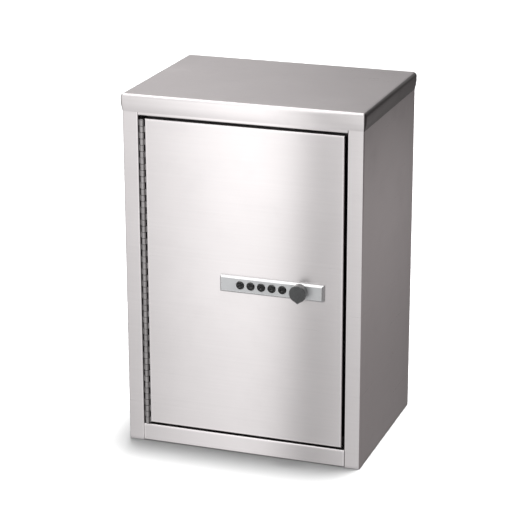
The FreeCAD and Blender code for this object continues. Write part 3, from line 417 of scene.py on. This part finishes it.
# brightest value that a ramp can hold
RAMP_TOP = 3.0


def ramp(nodes, place, stops, kind="B_SPLINE"):
    """Brightness read off stops of (place, brightness) at a 0 to 1 place."""
    made = nodes.node("ShaderNodeValToRGB", {0: place})
    made.color_ramp.interpolation = kind
    elements = made.color_ramp.elements
    while len(elements) < len(stops):
        elements.new(0.5)
    for element, (position, value) in zip(elements, stops):
        element.position = position
        level = value / RAMP_TOP
        element.color = (level, level, level, 1)
    return nodes.multiply(made.outputs[0], RAMP_TOP)


def before_diffuse(nodes, value):
    """value for rays that have not bounced off anything matt, and 0 for the rest."""
    depth = nodes.node("ShaderNodeLightPath").outputs["Diffuse Depth"]
    return nodes.multiply(value, nodes.calculate("LESS_THAN", depth, 0.5))


# brightness along each card and up it
FRONT_STOPS = [
    (0.0, 0.95),
    (0.12, 1.1),
    (0.28, 1.48),
    (0.43, 1.66),
    (0.558, 1.6),
    (0.633, 0.3),
    (0.69, 0.75),
    (0.77, 1.22),
    (1.0, 1.0),
]
FRONT_HEIGHTS = [(0.0, 0.65), (0.35, 0.76), (0.75, 0.95), (1.0, 1.0)]
SIDE_STOPS = [(0.0, 0.30), (0.25, 0.325), (0.48, 0.45), (0.66, 0.22), (1.0, 0.06)]
SIDE_HEIGHTS = [(0.0, 0.72), (0.25, 0.81), (0.5, 1.08), (0.70, 1.0), (0.83, 0.42), (1.0, 0.25)]
BACK_STOPS = [(0.0, 0.60), (0.5, 0.51), (1.0, 0.33)]

NEUTRAL = (1.0, 1.0, 1.0, 1.0)
MILD = (1.02, 0.99, 0.99, 1.0)
WARM = (1.04, 0.975, 0.975, 1.0)

# degrees that the front card is turned in its own plane
FRONT_LEAN = 2.6


def upright(start, end, foot, head):
    """Corners of an upright rectangle over the ground line from start to end."""
    return [(*start, foot), (*end, foot), (*end, head), (*start, head)]


def glow_card(name, corners, tint, gradings):
    """Panel seen only in reflections, graded by each (axis, from, to, stops) in turn."""
    panel = flat_panel(name, corners)
    material = bpy.data.materials.new(name)
    nodes = Nodes(material)
    axes = nodes.axes(nodes.node("ShaderNodeTexCoord").outputs["Object"])
    strength = 1.0
    for axis, start, end, stops in gradings:
        place = nodes.node("ShaderNodeMapRange", {0: axes[axis], 1: start, 2: end})
        strength = nodes.multiply(strength, ramp(nodes, place.outputs[0], stops))
    inputs = {"Color": tint, "Strength": before_diffuse(nodes, strength)}
    emission = nodes.node("ShaderNodeEmission", inputs)
    nodes.node("ShaderNodeOutputMaterial", {"Surface": emission.outputs[0]})
    panel.data.materials.append(material)
    for ray in ("camera", "diffuse", "shadow", "transmission", "volume_scatter"):
        setattr(panel, "visible_" + ray, False)
    return panel


def make_cards():
    """Graded panels that the steel mirrors: before the door, right of the side, behind the top."""
    corners = upright((-1.2, -0.36), (0.9, -0.36), foot=-0.45, head=1.2)
    gradings = [("X", -0.27, 0.13, FRONT_STOPS), ("Z", -0.1, 0.3, FRONT_HEIGHTS)]
    front = glow_card("front_card", corners, NEUTRAL, gradings)
    front.rotation_euler.y = math.radians(FRONT_LEAN)

    corners = upright((0.26, -0.3), (0.26, 4.0), foot=-2.0, head=0.8)
    gradings = [("Y", 0.2, 0.8, SIDE_STOPS), ("Z", -0.12, 0.36, SIDE_HEIGHTS)]
    glow_card("side_card", corners, WARM, gradings)

    corners = upright((-1.2, 0.45), (1.0, 0.45), foot=0.4, head=1.4)
    glow_card("back_card", corners, MILD, [("X", -0.30, 0.0, BACK_STOPS)])


ROOM_LIGHT = 0.38
BACKDROP = 1.2

# brightness of the reflected room from straight down to straight up
ROOM_MIRRORED = [
    (0.0, 0.45),
    (0.6, 0.5),
    (0.8, 0.65),
    (0.89, 0.85),
    (0.92, 2.4),
    (0.965, 2.6),
    (0.985, 0.9),
    (1.0, 0.8),
]


def mirrored_room(nodes):
    """What glossy surfaces see: grey round the sides, and a bright ring round a dimmer zenith."""
    direction = nodes.axes(nodes.node("ShaderNodeTexCoord").outputs["Generated"])
    height = nodes.node("ShaderNodeMapRange", {0: direction["Z"], 1: -1.0})
    return ramp(nodes, height.outputs[0], ROOM_MIRRORED, "LINEAR")


def background(nodes, strength):
    """White light of one strength from all round."""
    inputs = {"Color": NEUTRAL, "Strength": strength}
    return nodes.node("ShaderNodeBackground", inputs).outputs[0]


def make_world():
    """White beyond the floor, a soft white room for light and a greyer one in reflections."""
    world = bpy.data.worlds.new("studio_world")
    nodes = Nodes(world)
    rays = nodes.node("ShaderNodeLightPath").outputs
    shown = background(nodes, ROOM_LIGHT)
    for ray, strength in (("Is Glossy Ray", mirrored_room(nodes)), ("Is Camera Ray", BACKDROP)):
        inputs = {0: before_diffuse(nodes, rays[ray]), 1: shown, 2: background(nodes, strength)}
        shown = nodes.node("ShaderNodeMixShader", inputs).outputs[0]
    nodes.node("ShaderNodeOutputWorld", {"Surface": shown})
    scene.world = world


def hang_lamp(name, lamp, direction, place=(0, 0, 0)):
    """Adds a lamp that shines along direction and isn't mirrored."""
    holder = bpy.data.objects.new(name, lamp)
    holder.location = place
    holder.rotation_euler = Vector(direction).to_track_quat("-Z", "Y").to_euler()
    holder.visible_glossy = False
    scene.collection.objects.link(holder)


def area_light(name, place, target, size, power):
    """Rectangular softbox at place, turned to target."""
    lamp = bpy.data.lights.new(name, "AREA")
    lamp.shape = "RECTANGLE"
    lamp.size, lamp.size_y = size
    lamp.energy = power
    hang_lamp(name, lamp, Vector(target) - Vector(place), place)


def sky_light(name, direction, spread, power):
    """Soft light from far away; spread is how many degrees of the sky it fills."""
    lamp = bpy.data.lights.new(name, "SUN")
    lamp.angle = math.radians(spread)
    lamp.energy = power
    hang_lamp(name, lamp, direction)


def make_studio():
    """Floor, mirrored cards, surroundings and the two lamps."""
    make_floor()
    make_cards()
    make_world()
    area_light("key_light", place=(0.9, -1.3, 1.9), target=(0, 0, 0.1), size=(1.6, 1.2), power=6)
    sky_light("top_light", direction=(-0.042, -0.11, -1.0), spread=14, power=4.6)
    scene.view_settings.view_transform = "Standard"


place_camera()
dress_nodes()
make_studio()
